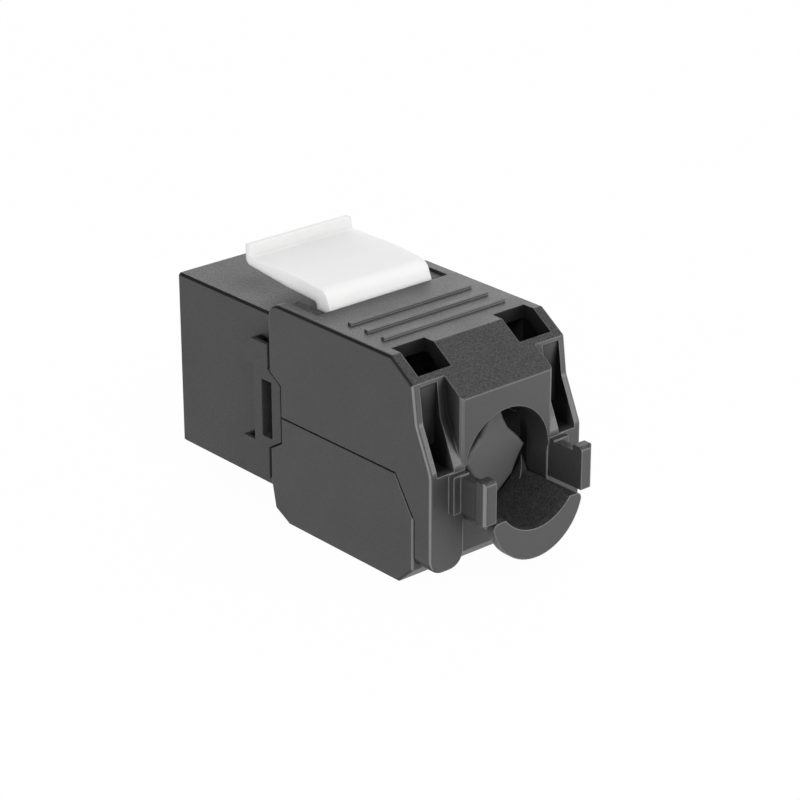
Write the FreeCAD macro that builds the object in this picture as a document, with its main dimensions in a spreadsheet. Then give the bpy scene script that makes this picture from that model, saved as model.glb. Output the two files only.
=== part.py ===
import FreeCAD, Part
import math
import os
import Sketcher

# Keystone jack with two hinged rear covers, closed at rest.
# Lengths are millimetres. The origin is the centre of the plug port in the front face:
# +X is the width, +Y runs from the front face to the rear, +Z is up.

os.makedirs("parts", exist_ok=True)
doc = FreeCAD.newDocument("KeystoneJack")

# Driving dimensions: name, value, meaning
SIZES = [
    ("front_half", 7.3, "half width of the front section that passes the panel"),
    ("front_half_high", 8.0, "half height of the front section"),
    ("seam", 13.55, "rear end of the front section, where the covers begin"),
    ("seam_gap", 0.15, "parting gap between neighbouring mouldings"),
    ("edge_round", 0.3, "small radius on outer moulded edges"),
    ("port_half", 5.95, "half width of the plug port"),
    ("port_half_high", 3.4, "half height of the plug port"),
    ("key_half", 3.2, "half width of the port's upper key step"),
    ("key_drop", 1.6, "depth of the key step below the port"),
    ("tab_half", 1.95, "half width of the plug's latch slot"),
    ("tab_drop", 1.3, "depth of the latch slot below the key step"),
    ("room_front", 1.5, "front wall over the contact room"),
    ("room_half", 5.4, "half width of the contact room"),
    ("room_top", 6.5, "top of the contact room"),
    ("shoulder_half", 8.35, "half width over the panel shoulders and the covers"),
    ("shoulder_front", 11.65, "panel shoulder, the face behind the panel"),
    ("shoulder_top", 3.4, "top of the panel shoulder"),
    ("shoulder_low", -3.6, "bottom of the panel shoulder"),
    ("tab_front", 10.1, "front of the small tabs above and below the shoulder"),
    ("upper_tab_top", 4.8, "front top corner of the upper tab"),
    ("ledge_front", 11.35, "front of the ledge on the upper tab"),
    ("ledge", 5.68, "height of the ledge on the upper tab"),
    ("lower_tab_low", -6.65, "bottom of the lower tab"),
    ("lower_tab_round", 1.1, "corner radius of the lower tab"),
    ("tongue_rear", 15.2, "rear end of the side tongue"),
    ("tongue_top", 2.4, "top of the tongue's rear edge"),
    ("tongue_root_top", 3.45, "top of the tongue at the seam"),
    ("tongue_low", -2.75, "bottom of the tongue's rear edge"),
    ("tongue_root_low", -3.75, "bottom of the tongue at the seam"),
    ("slot_front", 12.7, "front of the dark slot in the tongue"),
    ("slot_rear", 14.05, "rear of the slot in the tongue"),
    ("slot_half_high", 2.6, "half height of the slot in the tongue"),
    ("slot_centre", -0.25, "mid height of the slot in the tongue"),
    ("slot_deep", 1.5, "depth of the slot from the shoulder's side"),
    ("hollow_skin", 0.4, "skin left outside the hollows behind the tabs"),
    ("hollow_deep", 1.6, "depth of those hollows across the width"),
    ("hollow_drop", 1.0, "depth of the hollows below the tab's surface"),
    ("hollow_wall", 0.3, "front wall of the hollow in the lower tab"),
    ("hollow_run", 0.25, "reach of the lower hollow behind the panel shoulder"),
    ("plate_gap", 0.3, "gap between the side plates and the covers"),
    ("plate_wall", 1.2, "thickness of the rear side plates"),
    ("plate_rear", 16.6, "rear edge of the side plates"),
    ("lug_top", 9.35, "top of the upper hinge lugs"),
    ("lug_low", 6.8, "underside of the lugs' rear part"),
    ("lug_rear", 18.45, "rear end of the upper hinge lugs"),
    ("lug_front", 14.0, "front end of the upper hinge lugs above the front section"),
    ("lug_round", 0.9, "radius of the lugs' front corner"),
    ("bridge_rear", 18.2, "rear edge of the bridge under the latch"),
    ("bridge_wall", 1.2, "thickness of the bridge under the latch"),
    ("upper_axis_back", 14.9, "upper cover hinge axis from the front face"),
    ("upper_axis_up", 8.35, "upper cover hinge axis height"),
    ("lower_axis_back", 15.2, "lower cover hinge axis from the front face"),
    ("lower_axis_up", -6.8, "lower cover hinge axis height"),
    ("pin_radius", 0.6, "radius of the cover hinge pins"),
    ("pin_skin", 0.4, "distance from the end of the cover pins to the cover's side"),
    ("pin_clearance", 0.05, "radial running clearance of all pins"),
    ("end_clearance", 0.1, "clearance past the end of all pins"),
    ("panel_lug_half", 4.0, "half width of the fixed panel lug"),
    ("panel_lug_front", 5.6, "front of the fixed panel lug's ramp"),
    ("panel_lug_rear", 8.0, "catch face of the fixed panel lug"),
    ("panel_lug_tip", 0.6, "flat length at the lug's tip"),
    ("panel_lug_drop", 1.15, "height of the fixed panel lug"),
    ("top_chamfer", 0.2, "chamfer along the front section's long edges"),
    ("core_inner", 3.9, "inner side of the cored lower corners"),
    ("core_outer", 6.3, "outer side of the cored lower corners"),
    ("core_top", -4.1, "top of the cored lower corners"),
    ("core_low", -7.0, "bottom of the cored lower corners"),
    ("core_front", 2.0, "front end of the cored lower corners"),
    ("latch_axis_back", 17.3, "latch pivot axis from the front face"),
    ("latch_axis_up", 8.3, "latch pivot axis height"),
    ("latch_barrel", 0.8, "radius of the latch's pivot barrel"),
    ("latch_pin", 0.45, "radius of the latch's pivot pins"),
    ("latch_front", 7.43, "front end of the latch"),
    ("latch_gap", 0.3, "gap between the latch and the side plates"),
    ("latch_pin_long", 0.7, "length of the latch's pivot pins beyond the plates' inner faces"),
    ("latch_tip", 12.3, "top of the latch's catch lip"),
    ("latch_lip", 0.5, "thickness of the catch lip at its top"),
    ("latch_lip_foot", 0.7, "thickness of the catch lip at its foot"),
    ("latch_foot_round", 0.35, "radius behind the catch lip"),
    ("latch_nose_round", 0.65, "radius of the latch's lower front edge"),
    ("latch_top", 11.28, "latch top behind the lip"),
    ("latch_crown", 0.04, "rise of the latch top towards its middle"),
    ("latch_crown_back", 14.0, "highest line of the latch top from the front face"),
    ("latch_bend_up", 11.0, "height of the latch's rear bend"),
    ("latch_bend_run", 0.65, "length of the slope behind the bend"),
    ("latch_bend_round", 1.2, "radius of the latch's rear bend"),
    ("latch_heel", 18.65, "rear foot of the latch's slope"),
    ("latch_heel_up", 9.37, "height of that foot"),
    ("latch_under_front", 10.57, "underside of the latch at its front"),
    ("latch_under_mid", 10.01, "underside of the latch at its middle"),
    ("latch_under_mid_back", 13.0, "that middle point from the front face"),
    ("latch_under_rear", 9.8, "underside of the latch at its neck"),
    ("cover_front", 13.7, "front edge of both covers"),
    ("cover_top", 9.58, "top of the upper cover"),
    ("cover_wall", 0.95, "side wall of both covers"),
    ("roof_wall", 1.18, "top wall of the upper cover"),
    ("ear_step", 0.2, "step of the ears towards the latch's opening"),
    ("ear_round", 1.4, "radius of the ears' top front corner"),
    ("roof_gap", 0.2, "gap between the latch and the upper cover's roof"),
    ("part_up", -0.35, "lower edge of the upper cover's sides"),
    ("crest", 29.4, "rear end of the flat roof"),
    ("bar_rear", 32.05, "rear face under the roof's slope"),
    ("bar_up", 7.8, "lower end of the roof's slope"),
    ("kink_back", 32.5, "first bend of the rear edge, from the front face"),
    ("kink_up", 4.5, "first bend of the rear edge, height"),
    ("rear", 34.2, "rear face of the legs and the cable box"),
    ("leg_up", 0.65, "second bend of the rear edge, height"),
    ("leg_gap", 0.28, "gap between the legs and the lower cover's rear face"),
    ("leg_low", -8.35, "lower end of the legs"),
    ("leg_inner", 4.6, "inner side of the legs"),
    ("leg_round", 1.5, "radius at the lower end of the legs"),
    ("diagonal_back", 30.0, "upper end of the diagonal seam"),
    ("diagonal_low", -3.85, "lower end of the diagonal seam"),
    ("block_front", 30.8, "inner face of the upper cover's rear wall"),
    ("box_half", 5.0, "half width of the cable box"),
    ("cable_radius", 4.65, "radius of the cable tunnel"),
    ("cable_up", -0.4, "height of the cable axis"),
    ("window_inner", 3.75, "inner side of the corner windows"),
    ("window_rim", 0.15, "step between the corner windows and the cover's inner side"),
    ("window_front", 28.2, "front side of the corner windows"),
    ("window_rear", 31.5, "rear side of the corner windows"),
    ("window_low", 4.0, "bottom of the corner windows"),
    ("vent_rim", 0.75, "width of the rim outside the rear recesses"),
    ("vent_top", 7.5, "top of the rear recesses"),
    ("vent_low", 0.35, "bottom of the rear recesses"),
    ("vent_inner", 5.8, "inner side of the rear recesses"),
    ("vent_back_top", 32.0, "back wall of the recesses at their top"),
    ("vent_back", 31.75, "back wall of the recesses lower down"),
    ("vent_bend_up", 4.9, "height where that wall becomes upright"),
    ("vent_hole_top", 2.05, "top of the hole through the recesses' back wall"),
    ("rib_first", 22.3, "first grip rib from the front face"),
    ("rib_pitch", 2.08, "pitch of the grip ribs"),
    ("rib_half", 6.6, "half length of the grip ribs"),
    ("rib_wide", 0.42, "width of the grip ribs"),
    ("rib_rise", 0.22, "height of the grip ribs"),
    ("hook_inner", 4.7, "inner face of the tie hooks"),
    ("hook_root_outer", 6.35, "outer side of the hooks' root flange"),
    ("hook_root_rear", 34.8, "rear face of the hooks' root flange"),
    ("hook_root_top", 0.2, "top of the hooks' root flange"),
    ("hook_low", -3.15, "bottom of the tie hooks"),
    ("hook_web_outer", 5.6, "outer face of the hooks' web"),
    ("hook_web_top", 0.05, "top of the hooks' web"),
    ("hook_bar_front", 37.0, "front face of the hooks' end bar"),
    ("hook_rear", 38.05, "rear face of the hooks' end bar"),
    ("hook_bar_outer", 6.0, "outer side of the hooks' end bar"),
    ("hook_bar_top", 0.6, "top of the hooks' end bar"),
    ("hook_round", 0.4, "corner radius of the hooks"),
    ("lower_low", -10.15, "bottom of the lower cover"),
    ("lower_floor", 1.2, "floor of the lower cover"),
    ("lower_lip_front", 14.2, "front of the lower cover above its chamfer"),
    ("lower_lip_up", -9.2, "height of that corner"),
    ("lower_flat_front", 16.05, "front end of the lower cover's flat bottom"),
    ("lower_flat_rear", 30.2, "rear end of the lower cover's flat bottom"),
    ("lower_rear", 32.05, "rear face of the lower cover"),
    ("lower_heel_up", -8.5, "height where the rear face begins"),
    ("lower_back_wall", 1.05, "rear wall of the lower cover"),
    ("floor_front", 17.0, "front edge of the lower cover's floor between the ears"),
    ("trough_half", 4.45, "half width of the cable trough"),
    ("trough_inner", 4.95, "inner radius of the cable trough"),
    ("trough_wall", 0.8, "wall of the cable trough"),
    ("trough_rim", -3.35, "height of the trough's rims"),
    ("lip_front", 37.15, "front face of the trough's end lip"),
    ("lip_rear", 37.95, "rear face of the trough's end lip"),
    ("lip_radius", 5.0, "outer radius of the end lip"),
    ("lip_round", 0.5, "radius of the end lip's upper corners"),
    ("lip_up", -2.7, "centre height of the end lip's outer arc"),
    ("lip_inner", 4.5, "inner radius of the end lip"),
    ("lip_inner_up", -0.56, "centre height of the end lip's inner arc"),
    ("board_thick", 1.2, "thickness of the circuit board"),
    ("board_gap", 0.15, "gap between the side plates and the board or the terminal holder"),
    ("board_low", -6.8, "bottom of the circuit board"),
    ("board_top", 6.3, "top of the circuit board"),
    ("carrier_half", 5.3, "half width of the contact carrier"),
    ("carrier_low", 4.55, "underside of the contact carrier"),
    ("carrier_front", 1.7, "front end of the contact carrier"),
    ("groove_wide", 0.6, "width of the carrier's contact grooves"),
    ("groove_deep", 0.6, "depth of the carrier's contact grooves"),
    ("contact_pitch", 1.016, "pitch of the plug contacts"),
    ("contact_wide", 0.45, "width of a plug contact"),
    ("contact_thick", 0.3, "thickness of a plug contact"),
    ("contact_up", 4.65, "underside of a contact's fixed leg"),
    ("contact_front", 3.4, "front bend of a contact"),
    ("contact_tip_back", 10.2, "free end of a contact from the front face"),
    ("contact_tip_up", 1.9, "free end of a contact, height"),
    ("holder_half_high", 3.6, "half height of the terminal holder"),
    ("holder_long", 6.8, "length of the terminal holder"),
    ("fork_pitch", 2.8, "pitch of the wire terminals"),
    ("fork_half", 0.95, "half width of a wire terminal"),
    ("fork_thick", 0.4, "thickness of a wire terminal"),
    ("fork_back", 18.2, "front face of the wire terminals"),
    ("fork_tip", 6.6, "free end of a wire terminal"),
    ("fork_root", 0.6, "root of a wire terminal"),
    ("fork_slot", 0.42, "width of the wire slot"),
    ("fork_slot_deep", 3.0, "depth of the wire slot"),
    ("fork_mouth", 0.5, "half width of the wire slot's mouth"),
    ("tail_half", 0.4, "half width of a terminal's tail"),
    ("fit_gap", 0.05, "clearance round pieces seated in pockets"),
    ("manager_step", 0.15, "step from the terminal holder's side to the wire manager's side"),
    ("manager_half_high", 3.3, "half height of the wire manager's base"),
    ("manager_base", 2.6, "length of the wire manager's base"),
    ("channel_half", 0.9, "half width of the manager's wire channels"),
    ("channel_deep", 1.7, "depth of the manager's wire channels"),
    ("nose_rear", 32.8, "rear face of the wire manager's nose"),
    ("nose_half", 3.4, "half width of the nose"),
    ("nose_wide_up", -0.35, "height of the nose's widest level"),
    ("nose_tip_low", -4.0, "lower tip of the nose"),
    ("nose_tip_half", 0.35, "half width of the lower tip"),
    ("nose_neck_up", 3.95, "top of the nose's neck"),
    ("nose_neck_half", 0.68, "half width of the nose's neck"),
    ("nose_round", 0.4, "radius of the nose's rear edges"),
]

sheet = doc.addObject("Spreadsheet::Sheet", "Sizes")
for row, (name, value, meaning) in enumerate(SIZES, start=1):
    sheet.set("A%d" % row, meaning)
    sheet.set("B%d" % row, repr(value))
    sheet.setAlias("B%d" % row, name)
doc.recompute()


class Length:
    """A number together with the sheet expression that gives it."""

    def __init__(self, value, text):
        self.value = value
        self.text = text

    def __add__(self, other):
        other = length(other)
        return Length(self.value + other.value, "(%s + %s)" % (self.text, other.text))

    def __sub__(self, other):
        other = length(other)
        return Length(self.value - other.value, "(%s - %s)" % (self.text, other.text))

    def __mul__(self, other):
        other = length(other)
        return Length(self.value * other.value, "(%s * %s)" % (self.text, other.text))

    def __truediv__(self, other):
        other = length(other)
        return Length(self.value / other.value, "(%s / %s)" % (self.text, other.text))

    def least(self, other):
        other = length(other)
        return Length(min(self.value, other.value), "min(%s; %s)" % (self.text, other.text))

    def __neg__(self):
        return Length(-self.value, "(0 - %s)" % self.text)

    def __radd__(self, other):
        return length(other) + self

    def __rsub__(self, other):
        return length(other) - self


def length(item):
    """A plain number becomes a Length whose expression is the number itself."""
    return item if isinstance(item, Length) else Length(float(item), repr(float(item)))


class Sizes:
    """The sheet's values by name."""


size = Sizes()
for name, value, meaning in SIZES:
    setattr(size, name, Length(value, "Sizes." + name))

# Lengths that follow from the sizes
cover_inner = size.shoulder_half - size.cover_wall
plate_outer = cover_inner - size.plate_gap
plate_inner = plate_outer - size.plate_wall
core_half = plate_inner - size.board_gap
pin_end = size.shoulder_half - size.pin_skin
hinge_inner = cover_inner - size.cover_wall
hinge_outer = pin_end + size.end_clearance
latch_pin_end = plate_inner + size.latch_pin_long
ear_inner = cover_inner - size.ear_step
roof_front = size.latch_heel + size.roof_gap
leg_front = size.lower_rear + size.leg_gap
leg_end = size.leg_round.least((size.shoulder_half - size.leg_inner) * 0.45)
manager_half = core_half - size.manager_step
ramp_fall = (size.cover_top - size.bar_up) / (size.bar_rear - size.crest)

PLANE_ROLE = {"X": "YZ_Plane", "Y": "XZ_Plane", "Z": "XY_Plane"}


def new_body(label):
    body = doc.addObject("PartDesign::Body", label)
    body.Label = label
    return body


def add_circle(sketch, centre_u, centre_v, radius):
    centre = FreeCAD.Vector(length(centre_u).value, length(centre_v).value, 0)
    up = FreeCAD.Vector(0, 0, 1)
    index = sketch.addGeometry(Part.Circle(centre, up, length(radius).value))
    set_datum(sketch, Sketcher.Constraint("DistanceX", -1, 1, index, 3, centre.x), centre_u)
    set_datum(sketch, Sketcher.Constraint("DistanceY", -1, 1, index, 3, centre.y), centre_v)
    set_datum(sketch, Sketcher.Constraint("Radius", index, length(radius).value), radius)


def add_polygon(sketch, corners):
    points = [FreeCAD.Vector(length(u).value, length(v).value, 0) for u, v in corners]
    count = len(points)
    first = len(sketch.Geometry)
    for index in range(count):
        sketch.addGeometry(Part.LineSegment(points[index], points[(index + 1) % count]))
    for index in range(count):
        following = first + (index + 1) % count
        sketch.addConstraint(Sketcher.Constraint("Coincident", first + index, 2, following, 1))
    for index, (u, v) in enumerate(corners):
        line = first + index
        set_datum(sketch, Sketcher.Constraint("DistanceX", -1, 1, line, 1, points[index].x), u)
        set_datum(sketch, Sketcher.Constraint("DistanceY", -1, 1, line, 1, points[index].y), v)


def set_datum(sketch, constraint, source):
    """Adds a dimension and ties it to the sheet."""
    index = sketch.addConstraint(constraint)
    name = "size_%d" % index
    sketch.renameConstraint(index, name)
    if isinstance(source, Length):
        sketch.setExpression("Constraints." + name, source.text)


def add_sketch(body, name, axis, level, loops):
    """A sketch across an axis at a level on it; a loop of three items is a circle's u, v, radius."""
    sketch = body.newObject("Sketcher::SketchObject", name)
    role = PLANE_ROLE[axis]
    plane = [item for item in body.Origin.OriginFeatures if item.Role == role][0]
    sketch.AttachmentSupport = [(plane, "")]
    sketch.MapMode = "FlatFace"
    level = length(level)
    offset = -level if axis == "Y" else level
    sketch.AttachmentOffset = FreeCAD.Placement(FreeCAD.Vector(0, 0, offset.value), FreeCAD.Rotation())
    sketch.setExpression(".AttachmentOffset.Base.z", offset.text)
    for loop in loops:
        if isinstance(loop, tuple):
            add_circle(sketch, *loop)
        else:
            add_polygon(sketch, loop)
    return sketch


def finish_feature(body, feature, name):
    doc.recompute()
    if "Invalid" in feature.State or "Error" in feature.State or feature.Shape.isNull():
        raise RuntimeError("feature %s of %s failed: %s" % (name, body.Label, feature.State))
    if not feature.Shape.isValid():
        raise RuntimeError("feature %s of %s has no valid shape" % (name, body.Label))
    return feature


def pad(body, name, axis, start, stop, *loops):
    """Adds material between two levels of an axis."""
    before = body.Shape.Volume if body.Tip else 0.0
    level = stop if axis == "Y" else start
    feature = body.newObject("PartDesign::Pad", name)
    feature.Profile = add_sketch(body, name + "_outline", axis, level, loops)
    feature.setExpression("Length", (length(stop) - length(start)).text)
    finish_feature(body, feature, name)
    if body.Shape.Volume <= before:
        raise RuntimeError("pad %s of %s adds nothing" % (name, body.Label))
    return feature


def pocket(body, name, axis, start, stop, *loops):
    """Removes material between two levels of an axis."""
    before = body.Shape.Volume
    level = start if axis == "Y" else stop
    feature = body.newObject("PartDesign::Pocket", name)
    feature.Profile = add_sketch(body, name + "_outline", axis, level, loops)
    feature.Type = "Length"
    feature.setExpression("Length", (length(stop) - length(start)).text)
    finish_feature(body, feature, name)
    if body.Shape.Volume >= before:
        raise RuntimeError("pocket %s of %s cuts nothing" % (name, body.Label))
    return feature


def both_sides(make, body, name, inner, outer, *loops):
    """The same pad or pocket across X on the left and on the right."""
    make(body, name + "_left", "X", inner, outer, *loops)
    make(body, name + "_right", "X", -length(outer), -length(inner), *loops)


def rectangle(low_u, low_v, high_u, high_v):
    return [(low_u, low_v), (high_u, low_v), (high_u, high_v), (low_u, high_v)]


def mirrored(loop):
    """The same outline on the other side of the middle plane."""
    if isinstance(loop, tuple):
        centre_u, centre_v, radius = loop
        return (-length(centre_u), centre_v, radius)
    return [(-length(u), v) for u, v in reversed(loop)]


def pair(loop):
    return loop, mirrored(loop)


def edge_at(shape, point):
    """Name of the edge that passes through a point given as three lengths."""
    vertex = Part.Vertex(*[length(item).value for item in point])
    gaps = [edge.distToShape(vertex)[0] for edge in shape.Edges]
    nearest = min(range(len(gaps)), key=gaps.__getitem__)
    if gaps[nearest] > 0.01:
        raise RuntimeError("no edge at %s" % [round(item, 3) for item in vertex.Point])
    return "Edge%d" % (nearest + 1)


def dress(body, kind, name, amount, points):
    """Rounds or bevels the edges that pass through the given points."""
    base = body.Tip
    names = sorted({edge_at(base.Shape, point) for point in points})
    feature = body.newObject("PartDesign::" + kind, name)
    feature.Base = (base, names)
    feature.setExpression("Radius" if kind == "Fillet" else "Size", length(amount).text)
    return finish_feature(body, feature, name)


def fillet(body, name, radius, points):
    return dress(body, "Fillet", name, radius, points)


def chamfer(body, name, amount, points):
    return dress(body, "Chamfer", name, amount, points)


def both(points):
    """The given points and their mirror images across the middle plane."""
    return points + [(-length(x), y, z) for x, y, z in points]


def make_front_housing():
    body = new_body("front_housing")
    top = size.front_half_high
    port_low = -size.port_half_high
    key_low = port_low - size.key_drop
    tab_low = key_low - size.tab_drop
    pad(body, "block", "Y", 0, size.seam, rectangle(-size.front_half, -top, size.front_half, top))
    chamfer(body, "long_edges", size.top_chamfer,
            both([(size.front_half, size.seam / 2, top), (size.front_half, size.seam / 2, -top)]))
    port = [
        (-size.tab_half, tab_low), (size.tab_half, tab_low), (size.tab_half, key_low),
        (size.key_half, key_low), (size.key_half, port_low), (size.port_half, port_low),
        (size.port_half, size.port_half_high), (-size.port_half, size.port_half_high),
        (-size.port_half, port_low), (-size.key_half, port_low), (-size.key_half, key_low),
        (-size.tab_half, key_low),
    ]
    pocket(body, "plug_port", "Y", 0, size.seam, port)
    room = rectangle(-size.room_half, 0, size.room_half, size.room_top)
    pocket(body, "contact_room", "Y", size.room_front, size.seam, room)

    plate = [
        (size.shoulder_front, -top), (size.plate_rear, -top), (size.plate_rear, size.lug_low),
        (size.lug_rear, size.lug_low), (size.lug_rear, size.lug_top), (size.lug_front, size.lug_top),
        (size.lug_front, top - size.top_chamfer), (size.shoulder_front, top - size.top_chamfer),
    ]
    both_sides(pad, body, "side_plate", plate_inner, plate_outer, plate)
    plate_mid = (plate_inner + plate_outer) / 2
    fillet(body, "lug_front_corner", size.lug_round, both([(plate_mid, size.lug_front, size.lug_top)]))
    fillet(body, "lug_rear_corner", size.edge_round, both([(plate_mid, size.lug_rear, size.lug_top)]))
    bridge_top = size.latch_axis_up - size.latch_barrel - size.end_clearance
    bridge_step = size.latch_axis_back - size.latch_barrel - size.bridge_wall
    bridge = [
        (size.shoulder_front, top - size.bridge_wall), (size.bridge_rear, top - size.bridge_wall),
        (size.bridge_rear, bridge_top), (bridge_step, bridge_top), (bridge_step, top),
        (size.shoulder_front, top),
    ]
    pad(body, "bridge", "X", -plate_inner, plate_inner, bridge)

    shoulder = [
        (size.tab_front, size.upper_tab_top), (size.tab_front, size.shoulder_top),
        (size.shoulder_front, size.shoulder_top), (size.shoulder_front, size.shoulder_low),
        (size.tab_front, size.shoulder_low), (size.tab_front, size.lower_tab_low),
        (size.seam, size.lower_tab_low), (size.seam, size.tongue_root_low),
        (size.tongue_rear, size.tongue_low), (size.tongue_rear, size.tongue_top),
        (size.seam, size.tongue_root_top), (size.seam, size.ledge),
        (size.ledge_front, size.ledge),
    ]
    both_sides(pad, body, "shoulder", plate_outer - size.fit_gap, size.shoulder_half, shoulder)
    mid = (size.front_half + size.shoulder_half) / 2
    fillet(body, "lower_tab_corner", size.lower_tab_round, both([(mid, size.tab_front, size.lower_tab_low)]))
    slot = rectangle(size.slot_front, size.slot_centre - size.slot_half_high,
                     size.slot_rear, size.slot_centre + size.slot_half_high)
    both_sides(pocket, body, "tongue_slot", size.shoulder_half - size.slot_deep, size.shoulder_half, slot)
    upper_hollow = rectangle(size.ledge_front, size.ledge - size.hollow_drop, size.seam, size.ledge)
    lower_hollow = rectangle(size.tab_front + size.hollow_wall, size.shoulder_low - size.hollow_drop,
                             size.shoulder_front + size.hollow_run, size.shoulder_low)
    for name, hollow in (("upper_hollow", upper_hollow), ("lower_hollow", lower_hollow)):
        both_sides(pocket, body, name, size.shoulder_half - size.hollow_deep,
                   size.shoulder_half - size.hollow_skin, hollow)
    core = rectangle(size.core_inner, size.core_low, size.core_outer, size.core_top)
    pocket(body, "cored_corners", "Y", size.core_front, size.seam, *pair(core))

    lug = [
        (size.panel_lug_front, -top), (size.panel_lug_rear - size.panel_lug_tip, -top - size.panel_lug_drop),
        (size.panel_lug_rear, -top - size.panel_lug_drop), (size.panel_lug_rear, -top + size.top_chamfer),
        (size.panel_lug_front, -top + size.top_chamfer),
    ]
    pad(body, "panel_lug", "X", -size.panel_lug_half, size.panel_lug_half, lug)

    for name, back, up in (("upper", size.upper_axis_back, size.upper_axis_up),
                           ("lower", size.lower_axis_back, size.lower_axis_up)):
        both_sides(pad, body, name + "_pin", plate_inner, pin_end, (back, up, size.pin_radius))
    hole = (size.latch_axis_back, size.latch_axis_up, size.latch_pin + size.pin_clearance)
    both_sides(pocket, body, "latch_hole", plate_inner, latch_pin_end + size.end_clearance, hole)
    return body


def make_keystone_latch():
    body = new_body("keystone_latch")
    lip_top = size.latch_front + size.latch_lip
    lip_foot = size.latch_front + size.latch_lip_foot
    bend_back = size.latch_heel - size.latch_bend_run
    half_barrel = size.latch_barrel / 2
    neck_front = size.latch_axis_back - half_barrel
    outline = [
        (size.latch_front, size.latch_under_front), (size.latch_front, size.latch_tip),
        (lip_top, size.latch_tip), (lip_foot, size.latch_top),
        (size.latch_crown_back, size.latch_top + size.latch_crown), (bend_back, size.latch_bend_up),
        (size.latch_heel, size.latch_heel_up), (size.latch_axis_back + half_barrel, size.latch_axis_up),
        (neck_front, size.latch_axis_up), (neck_front, size.latch_under_rear),
        (size.latch_under_mid_back, size.latch_under_mid),
    ]
    half = plate_inner - size.latch_gap
    pad(body, "plate", "X", -half, half, outline)
    fillet(body, "neck_round", half_barrel, [(0, neck_front, size.latch_under_rear)])
    pad(body, "barrel", "X", -half, half, (size.latch_axis_back, size.latch_axis_up, size.latch_barrel))
    pin = (size.latch_axis_back, size.latch_axis_up, size.latch_pin)
    pad(body, "pins", "X", -latch_pin_end, latch_pin_end, pin)
    fillet(body, "foot_round", size.latch_foot_round, [(0, lip_foot, size.latch_top)])
    fillet(body, "nose_round", size.latch_nose_round, [(0, size.latch_front, size.latch_under_front)])
    fillet(body, "bend_round", size.latch_bend_round, [(0, bend_back, size.latch_bend_up)])
    fillet(body, "tip_round", size.latch_lip / 3, [(0, lip_top, size.latch_tip)])
    return body


def cover_profile():
    """Side outline of the upper cover."""
    return [
        (size.cover_front, size.tongue_root_top + size.seam_gap / 2),
        (size.tongue_rear + size.seam_gap, size.tongue_top + size.seam_gap / 2),
        (size.tongue_rear + size.seam_gap, size.part_up), (size.diagonal_back, size.part_up),
        (leg_front, size.diagonal_low), (leg_front, size.leg_low), (size.rear, size.leg_low),
        (size.rear, size.leg_up), (size.kink_back, size.kink_up), (size.bar_rear, size.bar_up),
        (size.crest, size.cover_top), (size.cover_front, size.cover_top),
    ]


def ramp_height(back):
    """Height of the roof's rear slope at a distance from the front face."""
    return size.cover_top - (back - size.crest) * ramp_fall


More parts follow.
